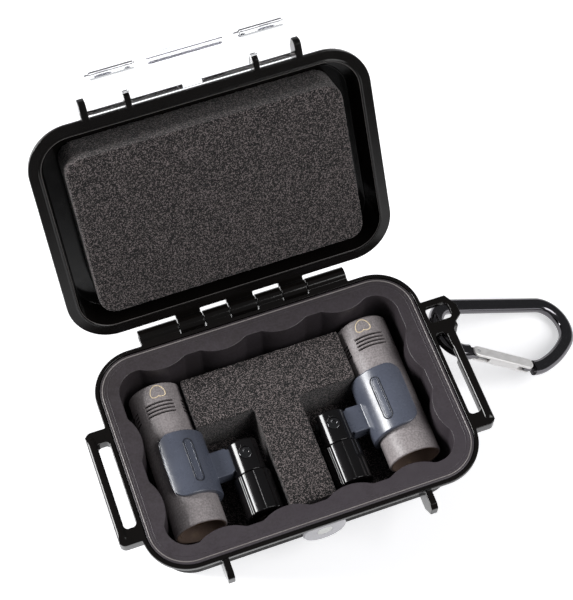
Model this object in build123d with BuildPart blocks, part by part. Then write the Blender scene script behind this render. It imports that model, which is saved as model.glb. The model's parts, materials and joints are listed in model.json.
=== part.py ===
"""Small hard case with a hinged lid, a clear front latch, a snap hook and two microphones in foam.

Frame: millimetres, +Z up, origin at the middle of the underside of the closed base, X along the hinge,
-Y towards the latch. The lid pieces are drawn closed and then turned about the hinge to the open rest pose.
"""

import os
from math import cos, radians, sin, tan

from build123d import *

# Case body
RIM_BAND = 8.9  # from the pocket's wall line out to the rim
CORNER_R = 16.8
RIM_Z = 38.5  # height of the base
WALL = 2.4
FLOOR_T = 2.6
FLANGE_T = 3.4
FLANGE_CHAMFER = 1.5
OVERHANG = 3.6  # the rim stands out past the tub all round
SIDE_DRAFT = 3.0  # degrees
FRONT_DRAFT = 11.0  # degrees
BOTTOM_R = 6.0

# Running and seating clearances
FIT = 0.3  # soft pieces and pieces on different bodies
PIN_RUN = 0.04  # radial, a turning bore on its pin
SNUG = 0.1  # radial, a hand-fitted sleeve

# Rubber boot that lines the base
LIP_INSET = 1.5  # rim band left showing outside the lip
LIP_RECESS = 1.5
LIP_T = 1.2
BOOT_FLOOR = 2.2
POCKET_R = 8.5
BULGE = 2.6
BULGE_R = 16.0
BULGE_END = 10.2  # middle of the last bulge to the start of the corner
SIDE_BULGE_PITCH = 26.0
CUSP_R = 3.0

# Foam
FOAM_FLOOR_TOP = 9.5
DIVIDER_TOP = 29.5
DIVIDER_SHORT = 1.0  # its back edge stops short of the microphones' backs
STEM_W = 17.8
STEM_GAP = 1.1  # to the stand socket
STEM_PAST = 3.0  # past the socket's front
LID_FOAM_SIDE = 7.6  # cavity's rim edge to foam
LID_FOAM_FRONT = 7.45
LID_FOAM_R = 6.5
LID_FOAM_PROUD = 4.0

# Lid
LID_GAP = 0.3
LID_H = 15.4
LID_FLANGE_T = 1.8
LID_STEP = 2.0  # the rim stands out past the walls
LID_DRAFT = 6.0  # degrees, sides and back
LID_FRONT_DRAFT = 26.0  # degrees
LID_TOP_R = 3.5
LID_WALL = 2.4
LID_TOP_T = 3.0
BEAD_W = 0.8
BEAD_H = 0.35
LID_OPEN = 119.0  # degrees from closed to the stop

# Hinge
HINGE_BACK = 3.85  # pin axis behind the rim
HINGE_DROP = 1.75  # pin axis below the rim
KNUCKLE_R = 3.15
KNUCKLE_WEB_H = 4.6
HINGE_PIN_D = 2.6
KNUCKLE_GAP = 0.35
HINGE_EDGES = (5.4, 15.5, 25.5, 41.0)  # joints between knuckles, out from the middle

# Front latch and its ears
PIVOT_OUT = 1.65  # pin axis in front of the rim
PIVOT_UP = 1.3  # pin axis above the lid's rim face
LATCH_PIN_D = 1.6
LATCH_BARREL_R = 1.3
OUTER_EAR_X = 39.2
OUTER_EAR_T = 2.6
OUTER_EAR_OUT = 6.6
INNER_EAR_X = 23.4
INNER_EAR_T = 2.2
INNER_EAR_OUT = 5.2
EAR_H = 7.2
BASE_EAR_X = 38.2
BASE_EAR_T = 2.6
BASE_EAR_OUT = 7.1
BASE_EAR_H = 11.4
LATCH_HALF_W = 36.4
LATCH_T = 2.0
TAB_IN = 17.4
FINGER_HALF_W = 15.8
LATCH_REACH = 20.4  # pivot to free edge
FINGER_REACH = 15.8
HOOK_REACH = 14.2  # pivot to the hook's catching face
HOOK_T = 2.4
HOOK_DEPTH = 4.6
HOOK_IN = 19.0
HOOK_OUT = 34.6
GRIP_W = 29.0
GRIP_IN = 2.5  # from the finger lip's edge
GRIP_T = 1.2
PIN_GAP = 7.2  # the two latch pins stop short of each other
CATCH_BITE = 1.6
CATCH_H = 3.0
CATCH_GAP = 0.4

# Pressure valve in the front wall
VALVE_Z = 26.2
VALVE_D = 16.6
VALVE_T = 1.6
VALVE_SEAT_OUT = 1.78  # its seat stands out past the wall
VALVE_BOSS_D = 17.4
VALVE_STEM_D = 7.0
VALVE_VENT_D = 2.4
MEMBRANE_D = 6.0
MEMBRANE_T = 0.5
SEAL_IN_D = 10.0
SEAL_OUT_D = 13.0
SEAL_T = 0.8

# Strap loops and the eye for the snap hook
LOOP_T = 5.0
LOOP_FRONT = -28.4
LOOP_BACK = 17.2
LOOP_R = 2.4
STRAP_SLOT_W = 4.6
STRAP_SLOT_GAP = 0.1  # outside the rim
STRAP_SLOT_FRONT = -22.4
STRAP_SLOT_BACK = 12.0
STRAP_BAR_W = 3.3
LUG_T = 2.2
LUG_L = 26.4
LUG_REACH = 4.7  # past the loop
LUG_BEVEL = 3.0
LUG_CUT = 0.6
EYE_MARGIN = 3.2
EYE_GAP = 0.4  # past the slot's inner edge
EYE_FRONT = 17.0
EYE_L = 6.6
EYE_POST_T = 2.2
EYE_POST_FRONT = 13.3
EYE_POST_L = 3.3
EYE_WEB_DROP = 9.8  # below the rim
EYE_WEB_T = 2.2

# Snap hook
HOOK_OUT_OF_SLOT = 2.6  # hook's origin past the slot's inner edge
HOOK_TILT = 28.4  # degrees down to the surface that the case stands on
WIRE_W = 5.8
WIRE_T = 4.4
WIRE_R = 1.9
SMALL_END_R = 10.2
SMALL_END = (10.9, 15.5)
SPINE_TURN = 2.1  # degrees
SPINE_END = (54.5, 24.1)
BIG_END = ((64.2, 14.9), (60.7, 6.25), (44.9, -2.9))
NOSE = (38.3, -3.9)
GATE_PIVOT = (14.1, 4.5)
GATE_TIP = (35.5, -2.7)
GATE_W = 4.4
GATE_T = 4.0
TONGUE_T = 1.8
TONGUE_GAP = 0.15
TONGUE_R = 1.9
GATE_PIN_D = 1.4
PLUNGER_D = 1.2
PLUNGER_L = 9.0

# Microphones
MIC_R = 10.0
MIC_L = 57.6
MIC_SHIFT = 2.3  # middle of its length behind the middle of the case
MIC_Z = 22.1
MIC_SIDE_GAP = 0.3  # tube to bulge
MIC_END_GAP = 4.05
MIC_CAPSULE_L = 22.6
MIC_WALL = 1.1
SLEEVE_L = 4.0
SLOT_ROWS = 4
SLOT_PITCH = 1.47
SLOT_START = 7.8  # from the capsule's back
SLOT_W = 0.75
SLOT_ARC = 68.0  # degrees
SLOT_GROUPS = 4
GRILLE_T = 0.6
CARTRIDGE_L = 5.0
INSERT_DEPTH = 13.0
INSERT_T = 4.2
PIN_CIRCLE_R = 4.2
CONTACT_D = 2.3
CONTACT_L = 4.0
BOARD_W = 14.0
BOARD_T = 1.2
BOARD_L = 19.6

# Stand clip
CLIP_T = 2.2
CLIP_L = 25.3
CLIP_BACK = 9.4
CLIP_HALF_ARC = 117.6  # degrees each side of the neck
CLIP_CORNER_R = 5.0
NECK_REACH = 24.4  # tube's axis to the swivel head's
NECK_SET = 8.9  # behind the clip's back edge
NECK_W = 10.6
NECK_H = 6.4
HEAD_R = 6.4
HEAD_L = 13.1
HEAD_PAST = 0.4  # past the neck's back
TONGUE_DISC_R = 4.6
SCREW_D = 2.8
SCREW_HEAD_D = 4.6
SCREW_HEAD_T = 1.6
SPIGOT_R = 3.4
SPIGOT_L = 3.0
SOCKET_R = 7.3
SOCKET_L = 16.0
SOCKET_GAP = 0.35
FLUTES = 9
FLUTE_R = 0.6
BUSH_WALL = 1.24
THREAD_R = 4.76
THREAD_DEPTH = 12.0

# Places worked out from the sizes above
HEAD_X = STEM_W / 2 + STEM_GAP + SOCKET_R
MIC_X = HEAD_X + NECK_REACH
MIC_BACK = MIC_L / 2 + MIC_SHIFT
MIC_FRONT = MIC_BACK - MIC_L
MIC_SEAM = MIC_BACK - MIC_CAPSULE_L
CLIP_FRONT = CLIP_BACK - CLIP_L
NECK_BACK = CLIP_BACK - NECK_SET
NECK_FRONT = NECK_BACK - NECK_W
HEAD_BACK = NECK_BACK + HEAD_PAST
HEAD_FRONT = HEAD_BACK - HEAD_L
PIVOT_Y = (NECK_BACK + NECK_FRONT) / 2
SOCKET_BACK = HEAD_FRONT - SOCKET_GAP
SOCKET_FRONT = SOCKET_BACK - SOCKET_L
INSERT_BACK = MIC_FRONT + INSERT_DEPTH
POCKET_X = MIC_X + MIC_R + MIC_SIDE_GAP + BULGE
POCKET_Y = MIC_L / 2 + MIC_END_GAP + BULGE
CASE_W = 2 * (POCKET_X + RIM_BAND)  # rim, left to right, without the strap loops
CASE_D = 2 * (POCKET_Y + RIM_BAND)  # rim, front to back
FLANGE_UNDER = RIM_Z - FLANGE_T
LIP_FLOOR = RIM_Z - LIP_RECESS
HINGE_Y = CASE_D / 2 + HINGE_BACK
HINGE_Z = RIM_Z - HINGE_DROP
HINGE_AXIS = Axis((0, HINGE_Y, HINGE_Z), (1, 0, 0))
LID_Z = RIM_Z + LID_GAP
PIVOT_AT_Y = -CASE_D / 2 - PIVOT_OUT
PIVOT_AT_Z = LID_Z + PIVOT_UP
LID_TOP = LID_Z + LID_H
LID_FOAM_FACE = LID_Z - LID_FOAM_PROUD
CLIP_R = MIC_R + CLIP_T
SLOT_IN = CASE_W / 2 + STRAP_SLOT_GAP
SLOT_OUT = SLOT_IN + STRAP_SLOT_W
LOOP_OUT = SLOT_OUT + STRAP_BAR_W
LOOP_ROOT = CASE_W / 2 - OVERHANG - WALL / 2
LUG_OUT = LOOP_OUT + LUG_REACH
HOOK_X = SLOT_IN + HOOK_OUT_OF_SLOT
HOOK_Z = RIM_Z - LOOP_T
CATCH_TOP = PIVOT_AT_Z - HOOK_REACH + CATCH_GAP + CATCH_H
HOOK_DIR = Vector(cos(radians(HOOK_TILT)), 0, -sin(radians(HOOK_TILT)))
HOOK_UP = Vector(sin(radians(HOOK_TILT)), 0, cos(radians(HOOK_TILT)))
HOOK_PLANE = Plane(origin=(HOOK_X, 0, HOOK_Z), x_dir=HOOK_DIR, z_dir=HOOK_UP)

os.makedirs("parts", exist_ok=True)


def at_y(y):
    """Upright plane at y, facing the front of the case; its sketches are in x and z."""
    return Plane.XZ.offset(-y)


def at_x(x):
    """Upright plane at x, facing right; its sketches are in y and z."""
    return Plane.YZ.offset(x)


def tub_half_x(z, inset):
    return CASE_W / 2 - OVERHANG - inset - (FLANGE_UNDER - z) * tan(radians(SIDE_DRAFT))


def tub_back(z, inset):
    return CASE_D / 2 - OVERHANG - inset - (FLANGE_UNDER - z) * tan(radians(SIDE_DRAFT))


def tub_front(z, inset):
    return -(CASE_D / 2 - OVERHANG - inset - (FLANGE_UNDER - z) * tan(radians(FRONT_DRAFT)))


def tub_section(z, inset):
    """Level section of the tub at z, inset from its outer wall."""
    front = tub_front(z, inset)
    back = tub_back(z, inset)
    with BuildSketch(Plane.XY.offset(z)) as section:
        with Locations((0, (front + back) / 2)):
            RectangleRounded(2 * tub_half_x(z, inset), back - front, CORNER_R - OVERHANG - inset)
    return section.sketch


def tub_block(bottom, top, inset):
    """Solid tub between two heights, added to the part in hand."""
    loft([tub_section(bottom, inset), tub_section(top, inset)], ruled=True)


def lid_half_x(z, inset):
    return CASE_W / 2 - LID_STEP - inset - (z - LID_Z) * tan(radians(LID_DRAFT))


def lid_back(z, inset):
    return CASE_D / 2 - LID_STEP - inset - (z - LID_Z) * tan(radians(LID_DRAFT))


def lid_front(z, inset):
    return -(CASE_D / 2 - LID_STEP - inset - (z - LID_Z) * tan(radians(LID_FRONT_DRAFT)))


def lid_section(z, inset):
    """Level section of the lid's walls at z, inset from its outer wall."""
    front = lid_front(z, inset)
    back = lid_back(z, inset)
    with BuildSketch(Plane.XY.offset(z)) as section:
        with Locations((0, (front + back) / 2)):
            RectangleRounded(2 * lid_half_x(z, inset), back - front, CORNER_R - LID_STEP - inset)
    return section.sketch


def export_lid_piece(piece, name):
    """Turn a piece that was drawn closed to the open lid's place, and write it."""
    piece.part = piece.part.rotate(HINGE_AXIS, -LID_OPEN)
    piece.part.label = name
    export_step(piece.part, f"parts/{name}.step")


def knuckle_spans():
    """Spans along X of the base's knuckles and of the lid's."""
    middle, inner, outer, end = HINGE_EDGES
    half = KNUCKLE_GAP / 2
    base = [(middle + half, inner - half), (outer + half, end)]
    base += [(-b, -a) for a, b in base]
    lid = [(-middle + half, middle - half), (inner + half, outer - half), (-outer + half, -inner - half)]
    return base, lid


BASE_KNUCKLES, LID_KNUCKLES = knuckle_spans()
VALVE_SEAT_Y = tub_front(VALVE_Z, 0) - VALVE_SEAT_OUT

# ---------------------------------------------------------------- base shell
with BuildPart() as tub_hollow:
    tub_block(FLOOR_T, RIM_Z + 1, WALL)
with BuildPart() as base_shell:
    tub_block(0, FLANGE_UNDER, 0)
    fillet(base_shell.edges().group_by(Axis.Z)[0], BOTTOM_R)
    with BuildSketch(Plane.XY.offset(FLANGE_UNDER)):
        RectangleRounded(CASE_W, CASE_D, CORNER_R)
    extrude(amount=FLANGE_T)
    chamfer(base_shell.faces().filter_by(Plane.XY).sort_by(Axis.Z)[1].outer_wire().edges(), FLANGE_CHAMFER)

    # strap loops, with the lug and the eye on the right
    for side in (-1, 1):
        with BuildSketch(Plane.XY.offset(RIM_Z - LOOP_T)) as loop:
            with Locations((side * (LOOP_ROOT + LOOP_OUT) / 2, (LOOP_FRONT + LOOP_BACK) / 2)):
                Rectangle(LOOP_OUT - LOOP_ROOT, LOOP_BACK - LOOP_FRONT)
            fillet([v for v in loop.vertices() if abs(v.X) > CASE_W / 2], LOOP_R)
        extrude(amount=LOOP_T)
    with BuildSketch(Plane.XY.offset(RIM_Z - LUG_T)):
        with BuildLine():
            Polyline(
                (LOOP_ROOT, STRAP_SLOT_BACK),
                (LOOP_OUT, STRAP_SLOT_BACK),
                (LUG_OUT - LUG_BEVEL, LOOP_BACK - LUG_BEVEL + 0.6),
                (LUG_OUT, LOOP_BACK),
                (LUG_OUT, LUG_L - 1.7 * LUG_BEVEL),
                (LUG_OUT - LUG_BEVEL, LUG_L),
                (LOOP_ROOT, LUG_L),
                close=True,
            )
        make_face()
    extrude(amount=LUG_T)
    with BuildSketch(Plane.XY.offset(RIM_Z - LOOP_T)):
        with Locations(((SLOT_IN + LUG_OUT) / 2, (LUG_CUT + LUG_L) / 2)):
            Rectangle(LUG_OUT - SLOT_IN, LUG_L - LUG_CUT)
    extrude(amount=LOOP_T - LUG_T, mode=Mode.SUBTRACT)
    with BuildSketch(Plane.XY.offset(RIM_Z - LOOP_T)):
        with Locations(((SLOT_IN + EYE_GAP + LUG_OUT - EYE_MARGIN) / 2, EYE_FRONT + EYE_L / 2)):
            RectangleRounded(LUG_OUT - EYE_MARGIN - SLOT_IN - EYE_GAP, EYE_L, EYE_L / 4)
    extrude(amount=LOOP_T, mode=Mode.SUBTRACT)
    for side in (-1, 1):
        with BuildSketch(Plane.XY.offset(RIM_Z - LOOP_T)):
            with Locations((side * (SLOT_IN + SLOT_OUT) / 2, (STRAP_SLOT_FRONT + STRAP_SLOT_BACK) / 2)):
                RectangleRounded(STRAP_SLOT_W, STRAP_SLOT_BACK - STRAP_SLOT_FRONT, STRAP_SLOT_W / 3)
        extrude(amount=LOOP_T, mode=Mode.SUBTRACT)
    with BuildSketch(at_y(EYE_POST_FRONT + EYE_POST_L)):
        with BuildLine():
            Polyline(
                (LOOP_ROOT, RIM_Z - EYE_WEB_DROP - EYE_WEB_T),
                (LOOP_OUT + EYE_POST_T, RIM_Z - EYE_WEB_DROP - EYE_WEB_T),
                (LOOP_OUT + EYE_POST_T, RIM_Z - LUG_T / 2),
                (LOOP_OUT, RIM_Z - LUG_T / 2),
                (LOOP_OUT, RIM_Z - EYE_WEB_DROP),
                (LOOP_ROOT, RIM_Z - EYE_WEB_DROP),
                close=True,
            )
        make_face()
    extrude(amount=EYE_POST_L)

    # hinge knuckles
    for start, end in BASE_KNUCKLES:
        with BuildSketch(at_x(start)):
            with Locations((HINGE_Y, HINGE_Z)):
                Circle(KNUCKLE_R)
            with BuildLine():
                Polyline(
                    (CASE_D / 2 - OVERHANG, RIM_Z),
                    (HINGE_Y, RIM_Z),
                    (HINGE_Y, HINGE_Z - KNUCKLE_R),
                    (CASE_D / 2 - OVERHANG, RIM_Z - 2.4 * KNUCKLE_R),
                    close=True,
                )
            make_face()
        extrude(amount=end - start)

    # ears beside the latch, and the two catches under it
    for side in (-1, 1):
        with BuildSketch(at_x(side * BASE_EAR_X - BASE_EAR_T / 2)):
            with BuildLine():
                Polyline(
                    (-CASE_D / 2 + OVERHANG, RIM_Z - 0.5),
                    (-CASE_D / 2 - BASE_EAR_OUT + 1.5, RIM_Z - 0.5),
                    (-CASE_D / 2 - BASE_EAR_OUT, RIM_Z - 2.0),
                    (-CASE_D / 2 - BASE_EAR_OUT, RIM_Z - 6.5),
                    (-CASE_D / 2 - 2.8, RIM_Z - 0.5 - BASE_EAR_H),
                    (-CASE_D / 2 + OVERHANG + WALL, RIM_Z - 0.5 - BASE_EAR_H),
                    close=True,
                )
            make_face()
        extrude(amount=BASE_EAR_T)
        catch_front = tub_front(CATCH_TOP, 0) - CATCH_BITE
        with BuildSketch(at_x(side * (HOOK_IN + HOOK_OUT) / 2 - (HOOK_OUT - HOOK_IN) / 2)):
            with BuildLine():
                Polyline(
                    (tub_front(CATCH_TOP, WALL / 2), CATCH_TOP),
                    (catch_front + 1.0, CATCH_TOP),
                    (catch_front, CATCH_TOP - 1.2),
                    (catch_front, CATCH_TOP - CATCH_H),
                    (tub_front(CATCH_TOP - CATCH_H, WALL / 2), CATCH_TOP - CATCH_H),
                    close=True,
                )
            make_face()
        extrude(amount=HOOK_OUT - HOOK_IN)

    # valve boss
    with BuildSketch(at_y(tub_front(0, WALL))):
        with Locations((0, VALVE_Z)):
            Circle(VALVE_BOSS_D / 2)
    extrude(amount=tub_front(0, WALL) - VALVE_SEAT_Y)

    # inside of the tub, lip recess and bores
    add(tub_hollow.part, mode=Mode.SUBTRACT)
    with BuildSketch(Plane.XY.offset(LIP_FLOOR)):
        RectangleRounded(CASE_W - 2 * LIP_INSET, CASE_D - 2 * LIP_INSET, CORNER_R - LIP_INSET)
    extrude(amount=2 * LIP_RECESS, mode=Mode.SUBTRACT)
    with BuildSketch(at_x(-CASE_W / 2)):
        with Locations((HINGE_Y, HINGE_Z)):
            Circle(HINGE_PIN_D / 2)
    extrude(amount=CASE_W, mode=Mode.SUBTRACT)
    with BuildSketch(at_y(tub_front(FLOOR_T, WALL))):
        with Locations((0, VALVE_Z)):
            Circle(VALVE_STEM_D / 2)
    extrude(amount=CASE_D, mode=Mode.SUBTRACT)
base_shell.part.label = "base_shell"
export_step(base_shell.part, "parts/base_shell.step")

# ---------------------------------------------------------------- rubber boot
BOOT_BOTTOM = FLOOR_T
BOOT_TOP = LIP_FLOOR + LIP_T
with BuildPart() as boot_pocket:
    tub_block(BOOT_BOTTOM + BOOT_FLOOR, BOOT_TOP + 1, WALL + FIT + LIP_T)
    with BuildSketch(Plane.XY.offset(BOOT_BOTTOM)) as wave:
        RectangleRounded(2 * POCKET_X, 2 * POCKET_Y, POCKET_R)
        rise = BULGE_R - BULGE
        pitch = (POCKET_X - POCKET_R - BULGE_END) / 1.5
        side_front = -(POCKET_Y - POCKET_R - BULGE_END)
        for side in (-1, 1):
            with Locations([(x * pitch, side * (POCKET_Y + rise)) for x in (-1.5, -0.5, 0.5, 1.5)]):
                Circle(BULGE_R, mode=Mode.SUBTRACT)
            with Locations([(side * (POCKET_X + rise), side_front + n * SIDE_BULGE_PITCH) for n in (0, 1)]):
                Circle(BULGE_R, mode=Mode.SUBTRACT)
        cusps = [v for v in wave.vertices() if abs(v.X) < POCKET_X - POCKET_R - 0.1]
        cusps += [v for v in wave.vertices() if abs(v.Y) < POCKET_Y - POCKET_R - 0.1]
        fillet(cusps, CUSP_R)
    extrude(amount=RIM_Z, mode=Mode.INTERSECT)
with BuildPart() as base_boot:
    tub_block(BOOT_BOTTOM, LIP_FLOOR, WALL + FIT)
    with BuildSketch(Plane.XY.offset(LIP_FLOOR)):
        inset = LIP_INSET + SNUG
        RectangleRounded(CASE_W - 2 * inset, CASE_D - 2 * inset, CORNER_R - inset)
    extrude(amount=LIP_T)
    chamfer(base_boot.faces().sort_by(Axis.Z)[-1].outer_wire().edges(), LIP_T / 3)
    add(boot_pocket.part, mode=Mode.SUBTRACT)
base_boot.part.label = "base_boot"
export_step(base_boot.part, "parts/base_boot.step")

# ---------------------------------------------------------------- foam in the base
FOAM_BOTTOM = BOOT_BOTTOM + BOOT_FLOOR
with BuildPart() as floor_foam:
    with BuildSketch(Plane.XY.offset(FOAM_BOTTOM)):
        back = MIC_BACK - DIVIDER_SHORT
        front = tub_front(FOAM_BOTTOM, WALL + LIP_T + 2 * FIT)
        with Locations((0, (front + back) / 2)):
            RectangleRounded(2 * (POCKET_X - BULGE - FIT), back - front, POCKET_R - BULGE)
    extrude(amount=FOAM_FLOOR_TOP - FOAM_BOTTOM)
floor_foam.part.label = "floor_foam"
export_step(floor_foam.part, "parts/floor_foam.step")

HEAD_HALF = MIC_X - MIC_R - FIT
DIVIDER_SHOULDER = CLIP_BACK + FIT
DIVIDER_BACK = MIC_BACK - DIVIDER_SHORT
STEM_FRONT = SOCKET_FRONT - STEM_PAST
with BuildPart() as foam_room:
    tub_block(FOAM_FLOOR_TOP, RIM_Z, WALL + LIP_T + 2 * FIT)
with BuildPart() as divider_foam:
    with BuildSketch(Plane.XY.offset(FOAM_FLOOR_TOP)):
        with BuildLine():
            Polyline(
                (-HEAD_HALF, DIVIDER_BACK),
                (HEAD_HALF, DIVIDER_BACK),
                (HEAD_HALF, DIVIDER_SHOULDER),
                (STEM_W / 2, DIVIDER_SHOULDER),
                (STEM_W / 2, STEM_FRONT),
                (-STEM_W / 2, STEM_FRONT),
                (-STEM_W / 2, DIVIDER_SHOULDER),
                (-HEAD_HALF, DIVIDER_SHOULDER),
                close=True,
            )
        make_face()
    extrude(amount=DIVIDER_TOP - FOAM_FLOOR_TOP)
    add(foam_room.part, mode=Mode.INTERSECT)
divider_foam.part.label = "divider_foam"
export_step(divider_foam.part, "parts/divider_foam.step")

# ---------------------------------------------------------------- hinge pin
HINGE_END = HINGE_EDGES[-1] - 0.6
with BuildPart() as hinge_pin:
    with BuildSketch(at_x(-HINGE_END)):
        with Locations((HINGE_Y, HINGE_Z)):
            Circle(HINGE_PIN_D / 2)
    extrude(amount=2 * HINGE_END)
hinge_pin.part.label = "hinge_pin"
export_step(hinge_pin.part, "parts/hinge_pin.step")

# ---------------------------------------------------------------- pressure valve
VALVE_INNER_Y = tub_front(VALVE_Z, WALL)
with BuildPart() as valve_body:
    with BuildSketch(at_y(VALVE_SEAT_Y)):
        with Locations((0, VALVE_Z)):
            Circle(VALVE_D / 2)
    extrude(amount=VALVE_T)
    chamfer(valve_body.faces().sort_by(Axis.Y)[0].edges(), 0.5)
    with BuildSketch(at_y(VALVE_INNER_Y - 0.6)):
        with Locations((0, VALVE_Z)):
            Circle(VALVE_STEM_D / 2)
    extrude(amount=VALVE_INNER_Y - 0.6 - VALVE_SEAT_Y)
    with BuildSketch(at_y(VALVE_INNER_Y)):
        with Locations((0, VALVE_Z)):
            Circle(VALVE_VENT_D / 2)
    extrude(amount=VALVE_INNER_Y - VALVE_SEAT_Y + VALVE_T, mode=Mode.SUBTRACT)
    with BuildSketch(at_y(VALVE_SEAT_Y - VALVE_T + MEMBRANE_T)):
        with Locations((0, VALVE_Z)):
            Circle(MEMBRANE_D / 2)
    extrude(amount=MEMBRANE_T, mode=Mode.SUBTRACT)
    with BuildSketch(at_y(VALVE_SEAT_Y)):
        with Locations((0, VALVE_Z)):
            Circle(SEAL_OUT_D / 2)
            Circle(SEAL_IN_D / 2, mode=Mode.SUBTRACT)
    extrude(amount=SEAL_T, mode=Mode.SUBTRACT)
valve_body.part.label = "valve_body"
export_step(valve_body.part, "parts/valve_body.step")

with BuildPart() as valve_membrane:
    with BuildSketch(at_y(VALVE_SEAT_Y - VALVE_T + MEMBRANE_T)):
        with Locations((0, VALVE_Z)):
            Circle(MEMBRANE_D / 2 - SNUG)
    extrude(amount=MEMBRANE_T)
valve_membrane.part.label = "valve_membrane"
export_step(valve_membrane.part, "parts/valve_membrane.step")

with BuildPart() as valve_seal:
    with BuildSketch(at_y(VALVE_SEAT_Y)):
        with Locations((0, VALVE_Z)):
            Circle(SEAL_OUT_D / 2 - SNUG)
            Circle(SEAL_IN_D / 2 + SNUG, mode=Mode.SUBTRACT)
    extrude(amount=SEAL_T)
valve_seal.part.label = "valve_seal"
export_step(valve_seal.part, "parts/valve_seal.step")

# ---------------------------------------------------------------- lid shell, drawn closed
with BuildPart() as lid_shell:
    loft([lid_section(LID_Z, 0), lid_section(LID_TOP, 0)], ruled=True)
    fillet(lid_shell.faces().sort_by(Axis.Z)[-1].edges(), LID_TOP_R)
    with BuildSketch(Plane.XY.offset(LID_Z)):
        RectangleRounded(CASE_W, CASE_D, CORNER_R)
    extrude(amount=LID_FLANGE_T)
    extrude(lid_section(LID_Z, LID_WALL - BEAD_W), amount=-BEAD_H)

    for start, end in LID_KNUCKLES:
        with BuildSketch(at_x(start)):
            with Locations((HINGE_Y, HINGE_Z)):
                Circle(KNUCKLE_R)
            with BuildLine():
                Polyline(
                    (lid_back(LID_Z, LID_WALL / 2), LID_Z),
                    (HINGE_Y - KNUCKLE_R * 0.7, LID_Z),
                    (HINGE_Y, HINGE_Z),
                    (HINGE_Y + KNUCKLE_R * 0.66, HINGE_Z + KNUCKLE_R * 0.72),
                    (CASE_D / 2, LID_Z + KNUCKLE_WEB_H),
                    (lid_back(LID_Z + KNUCKLE_WEB_H, LID_WALL / 2), LID_Z + KNUCKLE_WEB_H),
                    close=True,
                )
            make_face()
        extrude(amount=end - start)

    ears = [(s * OUTER_EAR_X, OUTER_EAR_T, OUTER_EAR_OUT) for s in (-1, 1)]
    ears += [(s * INNER_EAR_X, INNER_EAR_T, INNER_EAR_OUT) for s in (-1, 1)]
    for x, thickness, out in ears:
        with BuildSketch(at_x(x - thickness / 2)):
            with BuildLine():
                Polyline(
                    (lid_front(LID_Z, LID_WALL / 2), LID_Z),
                    (-CASE_D / 2 - out + 1.2, LID_Z),
                    (-CASE_D / 2 - out, LID_Z + 1.2),
                    (-CASE_D / 2 - out, LID_Z + 0.55 * EAR_H),
                    (-CASE_D / 2 - 0.4 * out, LID_Z + EAR_H),
                    (lid_front(LID_Z + EAR_H, LID_WALL / 2), LID_Z + EAR_H),
                    close=True,
                )
            make_face()
        extrude(amount=thickness)

    cavity = [lid_section(LID_Z - BEAD_H, LID_WALL), lid_section(LID_TOP - LID_TOP_T, LID_WALL)]
    loft(cavity, ruled=True, mode=Mode.SUBTRACT)
    with BuildSketch(at_x(-CASE_W / 2)):
        with Locations((HINGE_Y, HINGE_Z)):
            Circle(HINGE_PIN_D / 2 + PIN_RUN)
        with Locations((PIVOT_AT_Y, PIVOT_AT_Z)):
            Circle(LATCH_PIN_D / 2)
    extrude(amount=CASE_W, mode=Mode.SUBTRACT)
export_lid_piece(lid_shell, "lid_shell")

# ---------------------------------------------------------------- lid foam
with BuildPart() as lid_foam:
    with BuildSketch(Plane.XY.offset(LID_FOAM_FACE)):
        half_x = lid_half_x(LID_Z, LID_WALL) - LID_FOAM_SIDE
        half_y = lid_back(LID_Z, LID_WALL) - LID_FOAM_FRONT
        RectangleRounded(2 * half_x, 2 * half_y, LID_FOAM_R)
    extrude(amount=LID_TOP - LID_TOP_T - LID_FOAM_FACE)
export_lid_piece(lid_foam, "lid_foam")

# ---------------------------------------------------------------- latch pins and clear latch
LATCH_PIN_END = OUTER_EAR_X + OUTER_EAR_T / 2 - 0.4
with BuildPart() as latch_pins:
    for start in (-LATCH_PIN_END, PIN_GAP / 2):
        with BuildSketch(at_x(start)):
            with Locations((PIVOT_AT_Y, PIVOT_AT_Z)):
                Circle(LATCH_PIN_D / 2)
        extrude(amount=LATCH_PIN_END - PIN_GAP / 2)
export_lid_piece(latch_pins, "latch_pins")

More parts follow.
